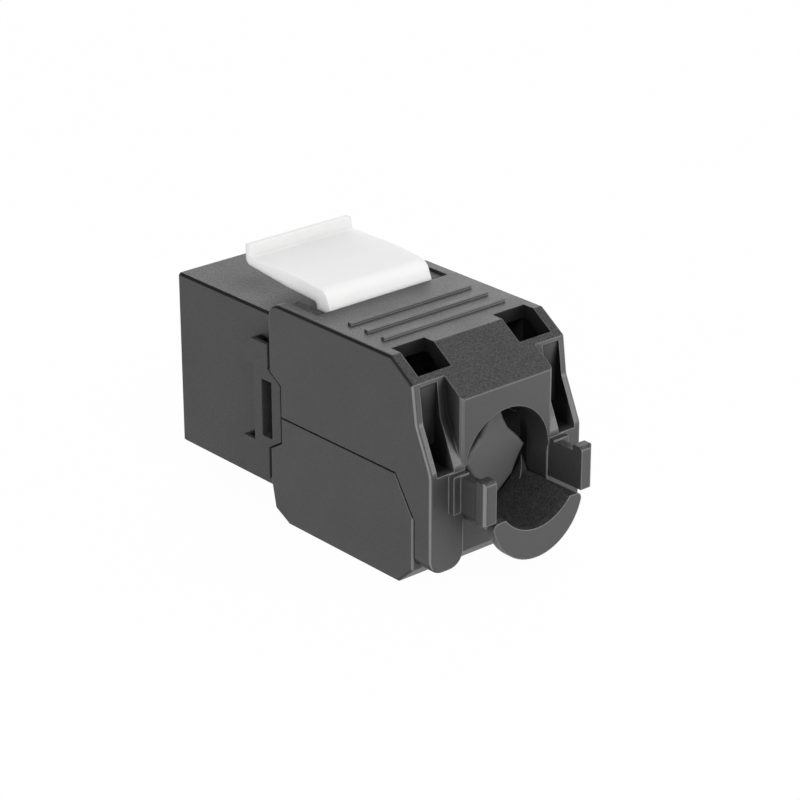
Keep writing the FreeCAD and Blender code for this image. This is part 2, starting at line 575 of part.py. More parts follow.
def make_upper_cover():
    body = new_body("upper_cover")
    half = size.shoulder_half
    roof_low = size.cover_top - size.roof_wall
    side_edges = [
        (half, (size.cover_front + size.crest) / 2, size.cover_top),
        (half, (size.crest + size.bar_rear) / 2, (size.cover_top + size.bar_up) / 2),
        (half, (size.bar_rear + size.kink_back) / 2, (size.bar_up + size.kink_up) / 2),
        (half, (size.kink_back + size.rear) / 2, (size.kink_up + size.leg_up) / 2),
        (half, size.rear, (size.leg_up + size.leg_low) / 2),
    ]
    pad(body, "shell", "X", -half, half, cover_profile())
    leg_mid = (leg_front + size.rear) / 2
    inside = size.block_front - size.cover_wall
    between_legs = rectangle(-size.leg_inner, size.leg_low, size.leg_inner, size.cable_up)
    pocket(body, "leg_gap", "Y", inside, size.rear, between_legs)
    fillet(body, "leg_ends", leg_end,
           both([(size.leg_inner, leg_mid, size.leg_low), (half, leg_mid, size.leg_low)]))
    fillet(body, "ear_corner", size.ear_round, [(0, size.cover_front, size.cover_top)])
    fillet(body, "side_edges", size.edge_round, both(side_edges))
    fillet(body, "rear_bends", size.leg_round,
           [(0, size.kink_back, size.kink_up), (0, size.rear, size.leg_up)])
    box_top = ramp_height(size.rear)
    round_in = size.edge_round * 0.3
    corner = [
        (size.box_half, size.rear - size.edge_round), (size.box_half - round_in, size.rear - round_in),
        (size.box_half - size.edge_round, size.rear),
    ]
    box = [(-size.box_half, size.crest), (size.box_half, size.crest)] + corner + mirrored(corner)
    pad(body, "cable_box", "Z", size.part_up, size.cover_top, box)
    beyond = size.rear + size.cover_wall
    above = [(size.crest, size.cover_top), (beyond, ramp_height(beyond)), (beyond, size.cover_top)]
    pocket(body, "box_slope", "X", -size.box_half, size.box_half, above)
    fillet(body, "box_edge", size.edge_round, [(0, size.rear, box_top)])
    cavity = [
        (size.seam - size.cover_wall, size.leg_low), (size.block_front, size.leg_low),
        (size.block_front, size.bar_up - size.roof_wall), (size.crest - size.roof_wall / 2, roof_low),
        (size.seam - size.cover_wall, roof_low),
    ]
    pocket(body, "cavity", "X", -cover_inner, cover_inner, cavity)
    pocket(body, "latch_notch", "Z", roof_low - size.roof_wall, size.cover_top,
           rectangle(-ear_inner, size.seam - size.cover_wall, ear_inner, roof_front))

    tunnel = (0, size.cable_up, size.cable_radius)
    pocket(body, "tunnel", "Y", inside, size.rear, tunnel)

    window = rectangle(size.window_inner, size.window_front, cover_inner - size.window_rim, size.window_rear)
    pocket(body, "windows", "Z", size.window_low, size.cover_top, *pair(window))
    recess = [
        (size.vent_back_top, size.vent_top), (size.vent_back, size.vent_bend_up),
        (size.vent_back, size.vent_hole_top), (inside, size.vent_hole_top), (inside, size.vent_low),
        (beyond, size.vent_low), (beyond, size.vent_top),
    ]
    both_sides(pocket, body, "recess", size.vent_inner, half - size.vent_rim, recess)

    for index in range(3):
        front = size.rib_first + size.rib_pitch * index - size.rib_wide / 2
        rib = rectangle(-size.rib_half, front, size.rib_half, front + size.rib_wide)
        pad(body, "rib_%d" % (index + 1), "Z", size.cover_top - size.rib_rise,
            size.cover_top + size.rib_rise, rib)

    root = rectangle(size.hook_inner, size.hook_low, size.hook_root_outer, size.hook_root_top)
    web = rectangle(size.hook_inner, size.hook_low, size.hook_web_outer, size.hook_web_top)
    bar = rectangle(size.hook_inner, size.hook_low, size.hook_bar_outer, size.hook_bar_top)
    bar_up = (size.hook_low + size.hook_web_top) / 2
    bar_mid = (size.hook_web_outer + size.hook_bar_outer) / 2
    pad(body, "hook_root", "Y", size.rear - size.edge_round, size.hook_root_rear, *pair(root))
    pad(body, "hook_web", "Y", size.rear - size.edge_round, size.hook_rear, *pair(web))
    pad(body, "hook_bar", "Y", size.hook_bar_front, size.hook_rear, *pair(bar))
    fillet(body, "hook_bar_edges", size.hook_round,
           both([(size.hook_bar_outer, size.hook_rear, bar_up), (bar_mid, size.hook_rear, size.hook_bar_top)]))

    hole = (size.upper_axis_back, size.upper_axis_up, size.pin_radius + size.pin_clearance)
    both_sides(pocket, body, "hinge", hinge_inner, hinge_outer, hole)
    return body


def make_lower_cover():
    body = new_body("lower_cover")
    half = size.shoulder_half
    seam_low = size.part_up - size.seam_gap
    floor = size.lower_low + size.lower_floor
    profile = [
        (size.tongue_rear + size.seam_gap, seam_low),
        (size.tongue_rear + size.seam_gap, size.tongue_low - size.seam_gap / 2),
        (size.cover_front, size.tongue_root_low - size.seam_gap / 2),
        (size.cover_front, size.lower_axis_up), (size.lower_lip_front, size.lower_lip_up),
        (size.lower_flat_front, size.lower_low), (size.lower_flat_rear, size.lower_low),
        (size.lower_rear, size.lower_heel_up), (size.lower_rear, size.diagonal_low - size.seam_gap / 2),
        (size.diagonal_back - size.seam_gap, seam_low),
    ]
    side_edges = [
        (half, size.cover_front, (size.tongue_root_low + size.lower_axis_up) / 2),
        (half, (size.cover_front + size.lower_lip_front) / 2, (size.lower_axis_up + size.lower_lip_up) / 2),
        (half, (size.lower_lip_front + size.lower_flat_front) / 2, (size.lower_lip_up + size.lower_low) / 2),
        (half, (size.lower_flat_front + size.lower_flat_rear) / 2, size.lower_low),
        (half, (size.lower_flat_rear + size.lower_rear) / 2, (size.lower_low + size.lower_heel_up) / 2),
        (half, size.lower_rear, (size.lower_heel_up + size.diagonal_low) / 2),
    ]
    pad(body, "shell", "X", -half, half, profile)
    fillet(body, "side_edges", size.edge_round, both(side_edges))
    back = size.lower_rear - size.lower_back_wall
    cavity = [
        (size.seam - size.cover_wall, seam_low), (size.seam - size.cover_wall, floor),
        (size.lower_flat_rear - size.lower_back_wall, floor), (back, size.lower_heel_up),
        (back, seam_low),
    ]
    pocket(body, "cavity", "X", -cover_inner, cover_inner, cavity)
    pocket(body, "front_notch", "Z", size.lower_low, floor + size.lower_floor,
           rectangle(-cover_inner, size.seam - size.cover_wall, cover_inner, size.floor_front))

    outer = size.trough_inner + size.trough_wall
    pad(body, "trough", "Y", size.lower_rear, size.lip_rear, (0, size.cable_up, outer))
    over = size.trough_half + outer
    side_cut = rectangle(size.trough_half, size.lower_low, over, over)
    pocket(body, "trough_sides", "Y", size.lower_rear, size.lip_rear, *pair(side_cut))
    pad(body, "end_lip", "Y", size.lip_front, size.lip_rear, (0, size.lip_up, size.lip_radius))
    top_cut = rectangle(-over, size.trough_rim, over, over)
    pocket(body, "rim", "Y", size.lower_rear, size.lip_rear, top_cut)
    pocket(body, "trough_bore", "Y", back - size.lower_back_wall, size.lip_front,
           (0, size.cable_up, size.trough_inner))
    pocket(body, "lip_bore", "Y", size.lip_front, size.lip_rear, (0, size.lip_inner_up, size.lip_inner))
    rise = (size.trough_rim - size.lip_up).value
    corner = math.sqrt(size.lip_radius.value ** 2 - rise ** 2)
    fillet(body, "lip_corners", size.lip_round,
           both([(corner, (size.lip_front + size.lip_rear) / 2, size.trough_rim)]))

    hole = (size.lower_axis_back, size.lower_axis_up, size.pin_radius + size.pin_clearance)
    both_sides(pocket, body, "hinge", hinge_inner, hinge_outer, hole)
    return body


def contact_x(index):
    """Middle of plug contact 1 to 8 across the width."""
    return size.contact_pitch * (index - 4.5)


def make_contact_carrier():
    body = new_body("contact_carrier")
    pad(body, "comb", "Y", size.carrier_front, size.seam,
        rectangle(-size.carrier_half, size.carrier_low, size.carrier_half, size.room_top))
    for index in range(1, 9):
        middle = contact_x(index)
        groove = rectangle(middle - size.groove_wide / 2, size.carrier_low - size.groove_deep,
                           middle + size.groove_wide / 2, size.carrier_low + size.groove_deep)
        pocket(body, "groove_%d" % index, "Y", size.carrier_front, size.seam, groove)
    return body


def make_contact(index):
    body = new_body("contact_%d" % index)
    thick = size.contact_thick
    low = size.contact_up
    outline = [
        (size.seam, low), (size.seam, low + thick), (size.contact_front + thick, low + thick),
        (size.contact_front, low), (size.contact_front + thick, low - thick),
        (size.contact_tip_back, size.contact_tip_up - thick), (size.contact_tip_back, size.contact_tip_up),
        (size.contact_front + thick * 4, low - thick / 2), (size.contact_front + thick * 2, low),
    ]
    middle = contact_x(index)
    pad(body, "strip", "X", middle - size.contact_wide / 2, middle + size.contact_wide / 2, outline)
    return body


def make_circuit_board():
    body = new_body("circuit_board")
    pad(body, "board", "Y", size.seam, size.seam + size.board_thick,
        rectangle(-core_half, size.board_low, core_half, size.board_top))
    return body


def fork_x(column):
    """Middle of a terminal column 0 to 3 across the width."""
    return size.fork_pitch * (column - 1.5)


def fork_rows():
    """Terminal number, column and side: 1 for the upper row, -1 for the lower one."""
    return [(row * 4 + column + 1, column, side) for row, side in enumerate((1, -1)) for column in range(4)]


def levels(side, low, high):
    """Two heights in rising order, for the upper row or mirrored for the lower one."""
    return (low, high) if side > 0 else (-length(high), -length(low))


def make_idc_holder():
    body = new_body("idc_holder")
    front = size.seam + size.board_thick
    pad(body, "block", "Y", front, front + size.holder_long,
        rectangle(-core_half, -size.holder_half_high, core_half, size.holder_half_high))
    gap = size.fit_gap
    for number, column, side in fork_rows():
        middle = fork_x(column)
        low, high = levels(side, size.fork_root - gap, size.holder_half_high)
        well = rectangle(middle - size.fork_half - gap, size.fork_back - gap,
                         middle + size.fork_half + gap, size.fork_back + size.fork_thick + gap)
        pocket(body, "well_%d" % number, "Z", low, high, well)
        low, high = levels(side, size.fork_root - gap, size.fork_root + size.fork_thick + gap)
        duct = rectangle(middle - size.tail_half - gap, low, middle + size.tail_half + gap, high)
        pocket(body, "duct_%d" % number, "Y", front, size.fork_back, duct)
    return body


def make_idc_terminal(number, column, side):
    body = new_body("idc_terminal_%d" % number)
    middle = fork_x(column)
    slot_half = size.fork_slot / 2
    slot_end = size.fork_tip - size.fork_slot_deep
    right = [
        (size.fork_half, size.fork_root), (size.fork_half, size.fork_tip),
        (size.fork_mouth, size.fork_tip), (slot_half, size.fork_tip - size.fork_mouth),
        (slot_half, slot_end),
    ]
    left = [(-u, v) for u, v in reversed(right)]
    outline = [(middle + u, v if side > 0 else -v) for u, v in right + left]
    pad(body, "fork", "Y", size.fork_back, size.fork_back + size.fork_thick, outline)
    low, high = levels(side, size.fork_root, size.fork_root + size.fork_thick)
    tail = rectangle(middle - size.tail_half, low, middle + size.tail_half, high)
    pad(body, "tail", "Y", size.seam + size.board_thick, size.fork_back, tail)
    return body


def make_wire_manager():
    body = new_body("wire_manager")
    front = size.seam + size.board_thick + size.holder_long
    base_rear = front + size.manager_base
    pad(body, "base", "Y", front, base_rear,
        rectangle(-manager_half, -size.manager_half_high, manager_half, size.manager_half_high))
    for number, column, side in fork_rows():
        middle = fork_x(column)
        low, high = levels(side, size.manager_half_high - size.channel_deep, size.manager_half_high)
        channel = rectangle(middle - size.channel_half, low, middle + size.channel_half, high)
        pocket(body, "channel_%d" % number, "Y", front, base_rear, channel)
    neck = size.nose_neck_half
    drop = size.nose_wide_up - size.nose_tip_low
    rise = size.nose_neck_up - size.nose_wide_up
    flank = [
        (size.nose_tip_half, size.nose_tip_low),
        (size.nose_half * 0.59, size.nose_tip_low + drop * 0.36),
        (size.nose_half * 0.82, size.nose_tip_low + drop * 0.77),
        (size.nose_half, size.nose_wide_up),
        (size.nose_half * 0.8, size.nose_wide_up + rise * 0.2),
        (size.nose_half * 0.47, size.nose_wide_up + rise * 0.45),
        (neck * 1.5, size.nose_wide_up + rise * 0.69), (neck * 1.06, size.nose_wide_up + rise * 0.89),
        (neck, size.nose_neck_up),
    ]
    nose = flank + [(-u, v) for u, v in reversed(flank)]
    pad(body, "nose", "Y", base_rear - size.fit_gap, size.nose_rear, nose)
    rim = []
    for index, (u, v) in enumerate(nose):
        next_u, next_v = nose[(index + 1) % len(nose)]
        rim.append(((u + next_u) / 2, size.nose_rear, (v + next_v) / 2))
    fillet(body, "nose_edges", size.nose_round, rim)
    return body


pieces = [
    make_front_housing(),
    make_keystone_latch(),
    make_upper_cover(),
    make_lower_cover(),
    make_contact_carrier(),
    make_circuit_board(),
    make_idc_holder(),
    make_wire_manager(),
]
pieces += [make_contact(index) for index in range(1, 9)]
pieces += [make_idc_terminal(number, column, side) for number, column, side in fork_rows()]

doc.recompute()
for item in doc.Objects:
    if "Invalid" in item.State or "Error" in item.State:
        raise RuntimeError("object %s is in state %s" % (item.Name, item.State))
for piece in pieces:
    if piece.Shape.isNull() or not piece.Shape.isValid():
        raise RuntimeError("piece %s has no valid shape" % piece.Label)
    piece.Shape.exportStep("parts/%s.step" % piece.Label)
    print("%-16s solids %d volume %.1f" % (piece.Label, len(piece.Shape.Solids), piece.Shape.Volume))
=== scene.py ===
"""Keystone jack: finishes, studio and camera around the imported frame."""

import math

import bpy
from bpy.props import FloatProperty, FloatVectorProperty, PointerProperty
from mathutils import Matrix, Vector


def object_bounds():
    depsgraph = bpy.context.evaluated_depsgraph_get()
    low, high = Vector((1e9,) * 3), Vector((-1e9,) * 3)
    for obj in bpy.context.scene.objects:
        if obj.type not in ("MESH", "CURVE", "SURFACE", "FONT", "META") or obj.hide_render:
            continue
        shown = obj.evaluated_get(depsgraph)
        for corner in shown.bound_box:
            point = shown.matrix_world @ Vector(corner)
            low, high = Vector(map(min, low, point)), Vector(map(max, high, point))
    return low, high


bl_info = {
    "name": "Keystone Jack Studio",
    "version": (1, 0, 0),
    "blender": (4, 5, 0),
    "location": "View3D > Sidebar > Keystone Jack",
    "description": "Finishes a keystone jack and sets it in a plain studio",
    "category": "Object",
}

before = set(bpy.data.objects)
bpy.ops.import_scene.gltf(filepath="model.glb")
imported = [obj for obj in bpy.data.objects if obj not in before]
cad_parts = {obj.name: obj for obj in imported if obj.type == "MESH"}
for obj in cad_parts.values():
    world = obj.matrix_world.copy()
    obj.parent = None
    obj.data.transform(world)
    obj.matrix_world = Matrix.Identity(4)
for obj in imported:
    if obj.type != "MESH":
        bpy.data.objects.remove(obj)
CAD_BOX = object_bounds()
MM = 0.001
CONTACTS = ["contact_%d" % number for number in range(1, 9)]
TERMINALS = ["idc_terminal_%d" % number for number in range(1, 9)]

# Where painted shade starts and stops on a piece, each as a short fade
HOLLOW_INNER = (3.6 * MM, 3.7 * MM)
HOLLOW_FRONT = (28.0 * MM, 28.1 * MM)
HOLLOW_REAR = (33.2 * MM, 33.8 * MM)
WINDOW_OUTER = (7.8 * MM, 8.0 * MM)
WINDOW_REAR = (31.6 * MM, 31.7 * MM)
SIDE_EDGE = (6.4 * MM, 6.6 * MM)
LIP_REAR = (9.5 * MM, 11.5 * MM)

# Reach of the shade inside the windows and recesses
HOLLOW_REACH = 3.0 * MM

# Shares of a piece's own colour, each painting light or shade as said beside it
# painted shade on the rounded long edges at the top of the sides
UPPER_EDGE_PAINTED_SHADE = 0.3
# painted highlight on the rounded edges that face the rear
REAR_EDGE_PAINTED_HIGHLIGHT = 5.0
# painted shade inside the corner windows and rear recesses
HOLLOW_PAINTED_SHADE = 0.25
# painted shade on the rear of the latch's catch lip
LIP_PAINTED_SHADE = 0.80
# painted light: the wire manager is a lighter copy of the black plastic, brightening its nose deep in the
# tunnel
MANAGER_PAINTED_LIGHT = 2.7

# Specular level of plastic, and the shares of it and of the roughness that parts of a cover keep
PLAIN_GLOSS = 0.5
EDGE_GLOSS = 0.15
REAR_GLOSS_SHARE = 1.48
HOLLOW_GLOSS_SHARE = 0.2
SLOPE_ROUGHNESS_SHARE = 0.62

FLOOR_HALF_WIDTH = 3.0
FLOOR_COLOUR = (0.9, 0.9, 0.9, 1.0)
FLOOR_GLOW_SHARE = 0.98
UNLIT_CORNER = (0.40, -0.69, 0.60)

# Name, power, azimuth and elevation in degrees, width, height and distance in metres
SOFTBOXES = (
    ("right_lamp", "right_power", 218.0, 9.0, 0.125, 0.075, 0.25),
    ("fill_lamp", "fill_power", 165.0, 50.0, 0.24, 0.20, 0.45),
    ("left_lamp", "left_power", 104.0, 14.0, 0.22, 0.18, 0.45),
    ("back_lamp", "back_power", 319.0, 20.0, 0.50, 0.30, 0.50),
    ("top_lamp", "top_power", 340.0, 60.0, 0.32, 0.32, 0.45),
)


class JackFinish(bpy.types.PropertyGroup):
    """Colours and surface detail of the jack."""

    black: FloatVectorProperty(
        name="Black plastic", description="Colour of the housing and the covers",
        subtype="COLOR", size=4, min=0.0, max=1.0, default=(0.034, 0.034, 0.035, 1.0),
    )
    white: FloatVectorProperty(
        name="Latch plastic", description="Colour of the panel latch",
        subtype="COLOR", size=4, min=0.0, max=1.0, default=(0.87, 0.87, 0.866, 1.0),
    )
    board: FloatVectorProperty(
        name="Board", description="Colour of the circuit board's solder mask",
        subtype="COLOR", size=4, min=0.0, max=1.0, default=(0.015, 0.14, 0.05, 1.0),
    )
    gold: FloatVectorProperty(
        name="Contacts", description="Colour of the gold-plated contacts",
        subtype="COLOR", size=4, min=0.0, max=1.0, default=(0.90, 0.66, 0.26, 1.0),
    )
    tin: FloatVectorProperty(
        name="Terminals", description="Colour of the tin-plated terminals",
        subtype="COLOR", size=4, min=0.0, max=1.0, default=(0.76, 0.75, 0.73, 1.0),
    )
    grain: FloatProperty(
        name="Grain", description="Size of the moulding's fine grain",
        unit="LENGTH", subtype="DISTANCE", min=0.00002, max=0.001, default=0.00015,
    )
    edge: FloatProperty(
        name="Edge radius", description="Radius that softens the look of moulded edges",
        unit="LENGTH", subtype="DISTANCE", min=0.0, max=0.0005, default=0.00012,
    )


class JackStudio(bpy.types.PropertyGroup):
    """Camera, lamps and floor."""

    camera_azimuth: FloatProperty(
        name="Azimuth", description="Camera's direction round the jack, in degrees from the front",
        default=139.089,
    )
    camera_elevation: FloatProperty(
        name="Elevation", description="Camera's angle above the horizon, in degrees", default=23.333,
    )
    camera_roll: FloatProperty(
        name="Roll", description="Camera's turn about its own axis, in degrees", default=-0.107,
    )
    camera_place: FloatVectorProperty(
        name="Place", description="Camera's place in the jack's frame",
        unit="LENGTH", subtype="XYZ", size=3, default=(0.140645, 0.183239, 0.093301),
    )
    camera_lens: FloatProperty(name="Lens", description="Focal length in millimetres", default=124.72)
    fill_power: FloatProperty(
        name="Fill lamp", description="Power of the softbox behind the camera in watts", default=0.92,
    )
    right_power: FloatProperty(
        name="Right lamp", description="Power of the softbox at the right in watts", default=0.15,
    )
    left_power: FloatProperty(
        name="Left lamp", description="Power of the softbox at the left in watts", default=0.66,
    )
    back_power: FloatProperty(
        name="Back lamp", description="Power of the softbox behind the jack in watts", default=0.82,
    )
    top_power: FloatProperty(
        name="Top lamp", description="Power of the overhead softbox in watts", default=0.15,
    )
    horizon: FloatProperty(
        name="Horizon", description="Strength of the world's light at the horizon", default=0.55,
    )
    zenith: FloatProperty(name="Zenith", description="Share of that light overhead", default=0.35)


def new_material(name):
    """An empty node material with its output and a principled shader."""
    material = bpy.data.materials.new(name)
    material.use_nodes = True
    nodes = material.node_tree.nodes
    nodes.clear()
    output = nodes.new("ShaderNodeOutputMaterial")
    shader = nodes.new("ShaderNodeBsdfPrincipled")
    material.node_tree.links.new(shader.outputs["BSDF"], output.inputs["Surface"])
    return material, shader


def noise(tree, coordinates, feature, detail=2.0, roughness=0.5):
    """Noise whose features are about the given size across, in metres."""
    node = tree.nodes.new("ShaderNodeTexNoise")
    node.inputs["Scale"].default_value = 1.0 / feature
    node.inputs["Detail"].default_value = detail
    node.inputs["Roughness"].default_value = roughness
    tree.links.new(coordinates, node.inputs["Vector"])
    return node.outputs["Fac"]


def spread(tree, value, low, high, start=0.0, end=1.0):
    """Maps a value from one range to another."""
    node = tree.nodes.new("ShaderNodeMapRange")
    node.inputs["From Min"].default_value = start
    node.inputs["From Max"].default_value = end
    node.inputs["To Min"].default_value = low
    node.inputs["To Max"].default_value = high
    tree.links.new(value, node.inputs["Value"])
    return node.outputs["Result"]


def rising(tree, value, start, end):
    """0 up to the start, 1 from the end."""
    return spread(tree, value, 0.0, 1.0, start, end)


def falling(tree, value, start, end):
    """1 up to the start, 0 from the end."""
    return spread(tree, value, 1.0, 0.0, start, end)


def combined(tree, operation, first, second=0.0):
    """One maths step on two values; the second may be a plain number."""
    node = tree.nodes.new("ShaderNodeMath")
    node.operation = operation
    tree.links.new(first, node.inputs[0])
    if isinstance(second, float):
        node.inputs[1].default_value = second
    else:
        tree.links.new(second, node.inputs[1])
    return node.outputs[0]


def product(tree, first, *others):
    for other in others:
        first = combined(tree, "MULTIPLY", first, other)
    return first


def largest(tree, first, *others):
    for other in others:
        first = combined(tree, "MAXIMUM", first, other)
    return first


def magnitude(tree, value):
    return combined(tree, "ABSOLUTE", value)


def component(tree, vector, axis):
    """Component X, Y or Z of a vector."""
    split = tree.nodes.new("ShaderNodeSeparateXYZ")
    tree.links.new(vector, split.inputs["Vector"])
    return split.outputs[axis]


def own_place(tree):
    """Place on the surface in the node's frame."""
    return tree.nodes.new("ShaderNodeTexCoord").outputs["Object"]


def placed(tree, axis):
    """One component of the place on the surface."""
    return component(tree, own_place(tree), axis)


def facing(tree, axis):
    """One component of the surface's own normal, in the node's frame."""
    return component(tree, tree.nodes.new("ShaderNodeTexCoord").outputs["Normal"], axis)


def dot_product(tree, first, second):
    """Dot product of two vectors; the second may be plain numbers."""
    node = tree.nodes.new("ShaderNodeVectorMath")
    node.operation = "DOT_PRODUCT"
    tree.links.new(first, node.inputs[0])
    if isinstance(second, tuple):
        node.inputs[1].default_value = second
    else:
        tree.links.new(second, node.inputs[1])
    return node.outputs["Value"]


def softened(tree, radius):
    """Normals as if sharp edges were rounded by the radius."""
    soft = tree.nodes.new("ShaderNodeBevel")
    soft.samples = 6
    soft.inputs["Radius"].default_value = radius
    return soft.outputs["Normal"]


def scaled(colour, factor):
    """A colour times a factor, no lighter than white."""
    return tuple(min(1.0, channel * factor) for channel in colour[:3]) + (1.0,)


def blended(tree, factor, first, second):
    """A mix of two colours; each may be a plain colour or come from a node."""
    node = tree.nodes.new("ShaderNodeMix")
    node.data_type = "RGBA"
    tree.links.new(factor, node.inputs["Factor"])
    for name, colour in (("A", first), ("B", second)):
        if isinstance(colour, bpy.types.NodeSocket):
            tree.links.new(colour, node.inputs[name])
        else:
            node.inputs[name].default_value = colour
    return node.outputs["Result"]


def bumped(tree, shader, height, distance, edge=0.0, strength=None):
    """Grain bump over softly rounded edges; strength may be a value that varies."""
    bump = tree.nodes.new("ShaderNodeBump")
    bump.inputs["Strength"].default_value = 1.0
    bump.inputs["Distance"].default_value = distance
    tree.links.new(height, bump.inputs["Height"])
    if strength:
        tree.links.new(strength, bump.inputs["Strength"])
    if edge:
        tree.links.new(softened(tree, edge), bump.inputs["Normal"])
    tree.links.new(bump.outputs["Normal"], shader.inputs["Normal"])


def openness(tree):
    """1 on open faces, falling inside the upper cover's corner windows and rear recesses, where shade is
    painted.
    """
    shade = tree.nodes.new("ShaderNodeAmbientOcclusion")
    shade.samples = 8
    shade.only_local = True
    shade.inputs["Distance"].default_value = HOLLOW_REACH
    side = magnitude(tree, placed(tree, "X"))
    length = placed(tree, "Y")
    elsewhere = largest(
        tree, falling(tree, side, *HOLLOW_INNER), falling(tree, length, *HOLLOW_FRONT),
        rising(tree, length, *HOLLOW_REAR),
    )
    past_window = largest(
        tree, elsewhere, rising(tree, side, *WINDOW_OUTER), rising(tree, length, *WINDOW_REAR),
    )
    level_face = spread(tree, magnitude(tree, facing(tree, "Z")), 0.15, 1.0, 0.1, 0.4)
    unshaded = largest(tree, rising(tree, shade.outputs["AO"], 0.6, 0.97), elsewhere)
    return product(tree, unshaded, largest(tree, past_window, level_face))


def rear_edges(tree, radius):
    """1 on edges whose rounding faces the rear, 0 on flat faces."""
    soft = softened(tree, radius)
    plain = tree.nodes.new("ShaderNodeNewGeometry").outputs["Normal"]
    sharp = product(
        tree, falling(tree, dot_product(tree, soft, plain), 0.93, 0.99),
        rising(tree, component(tree, soft, "Y"), 0.3, 0.6),
    )
    corner = magnitude(tree, product(tree, facing(tree, "X"), facing(tree, "Y")))
    return largest(tree, sharp, rising(tree, corner, 0.30, 0.45))


def upper_edges(tree):
    """1 on the rounded long edges at the top of the sides, 0 on flat faces and inside the tunnel."""
    outside = rising(tree, magnitude(tree, placed(tree, "X")), *SIDE_EDGE)
    corner = magnitude(tree, product(tree, facing(tree, "X"), facing(tree, "Z")))
    return product(tree, outside, rising(tree, corner, 0.15, 0.40))


def housing_finish(tree, look, colour, tint, roughness):
    """Painted shade on the rounded long edges at the top, which are also duller."""
    edges = upper_edges(tree)
    # painted shade: the long top edges take a darker share of the colour
    tint = blended(tree, edges, tint, scaled(colour, UPPER_EDGE_PAINTED_SHADE))
    return tint, spread(tree, edges, PLAIN_GLOSS, EDGE_GLOSS), roughness


def cover_finish(tree, look, colour, tint, roughness):
    """The housing's finish, with a painted highlight on the rounded edges that face the rear and smoother
    faces at the rear.
    """
    tint, gloss, roughness = housing_finish(tree, look, colour, tint, roughness)
    rear = facing(tree, "Y")
    # painted highlight: the rear-facing rounded edges are made lighter
    tint = blended(tree, rear_edges(tree, look.edge * 1.5), tint, scaled(colour, REAR_EDGE_PAINTED_HIGHLIGHT))
    gloss = product(tree, gloss, spread(tree, rear, 1.0, REAR_GLOSS_SHARE, 0.93, 0.99))
    slope = product(tree, rising(tree, rear, 0.84, 0.88), falling(tree, rear, 0.975, 0.99))
    roughness = product(tree, roughness, spread(tree, slope, 1.0, SLOPE_ROUGHNESS_SHARE))
    return tint, gloss, roughness


def upper_cover_finish(tree, look, colour, tint, roughness):
    """The covers' finish, with painted shade inside the corner windows and rear recesses."""
    tint, gloss, roughness = cover_finish(tree, look, colour, tint, roughness)
    share = openness(tree)
    # painted shade: the hollows take a darker share of the colour
    tint = blended(tree, share, scaled(colour, HOLLOW_PAINTED_SHADE), tint)
    gloss = product(tree, gloss, spread(tree, share, HOLLOW_GLOSS_SHARE, 1.0))
    return tint, gloss, roughness


def latch_finish(tree, look, colour, tint, roughness):
    """Painted shade, slightly darker, on the rear of the catch lip."""
    lip = falling(tree, placed(tree, "Y"), *LIP_REAR)
    rear = product(tree, rising(tree, facing(tree, "Y"), 0.15, 0.9), lip)
    # painted shade: the lip's rear faces take a darker share of the white
    return blended(tree, rear, tint, scaled(colour, LIP_PAINTED_SHADE)), None, roughness


def moulded_plastic(name, look, colour, grain=1.0, depth=0.05, rough=(0.46, 0.52), speckle=0.06, finish=None):
    """Injection-moulded plastic whose grain shows most on upward faces.

    Grain and depth are shares of the grain size, and finish is one of the functions above.
    """
    material, shader = new_material(name)
    tree = material.node_tree
    place = own_place(tree)
    feature = look.grain * grain
    fine = noise(tree, place, feature, detail=2.0, roughness=0.6)
    broad = noise(tree, place, feature * 25.0)
    upward = spread(tree, facing(tree, "Z"), 0.2, 1.0, 0.3, 0.7)
    fleck = product(tree, spread(tree, fine, -0.5, 0.5, 0.3, 0.7), upward)
    tint = blended(tree, combined(tree, "ADD", fleck, 0.5),
                   scaled(colour, 1.0 - speckle), scaled(colour, 1.0 + speckle))
    roughness = spread(tree, broad, rough[0], rough[1], 0.3, 0.7)
    gloss = None
    if finish:
        tint, gloss, roughness = finish(tree, look, colour, tint, roughness)
    tree.links.new(tint, shader.inputs["Base Color"])
    tree.links.new(roughness, shader.inputs["Roughness"])
    if gloss:
        tree.links.new(gloss, shader.inputs["Specular IOR Level"])
    bumped(tree, shader, fine, look.grain * depth, look.edge, upward)
    return material


def plated_metal(name, colour, grain, rough):
    """Plated spring strip with faint rolling marks."""
    material, shader = new_material(name)
    tree = material.node_tree
    marks = noise(tree, own_place(tree), grain)
    shader.inputs["Metallic"].default_value = 1.0
    tree.links.new(blended(tree, marks, scaled(colour, 0.9), colour), shader.inputs["Base Color"])
    tree.links.new(spread(tree, marks, rough, rough + 0.12), shader.inputs["Roughness"])
    bumped(tree, shader, marks, grain * 0.02)
    return material


def dress(names, material):
    """Gives the named nodes one material."""
    for name in names:
        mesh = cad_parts[name].data
        mesh.materials.clear()
        mesh.materials.append(material)


class JACK_OT_shells(bpy.types.Operator):
    """Gives the housing and the two covers their grained black plastic"""

    bl_idname = "jack.shells"
    bl_label = "Finish Housing and Covers"

    def execute(self, context):
        look = context.scene.jack_finish
        for piece, finish in (("upper_cover", upper_cover_finish), ("lower_cover", cover_finish)):
            plastic = moulded_plastic(piece + "_plastic", look, look.black, depth=0.22, speckle=0.9,
                                      finish=finish)
            dress([piece], plastic)
        plastic = moulded_plastic("housing_plastic", look, look.black, grain=1.4, depth=0.4,
                                  rough=(0.54, 0.60), speckle=0.9, finish=housing_finish)
        dress(["front_housing"], plastic)
        return {"FINISHED"}


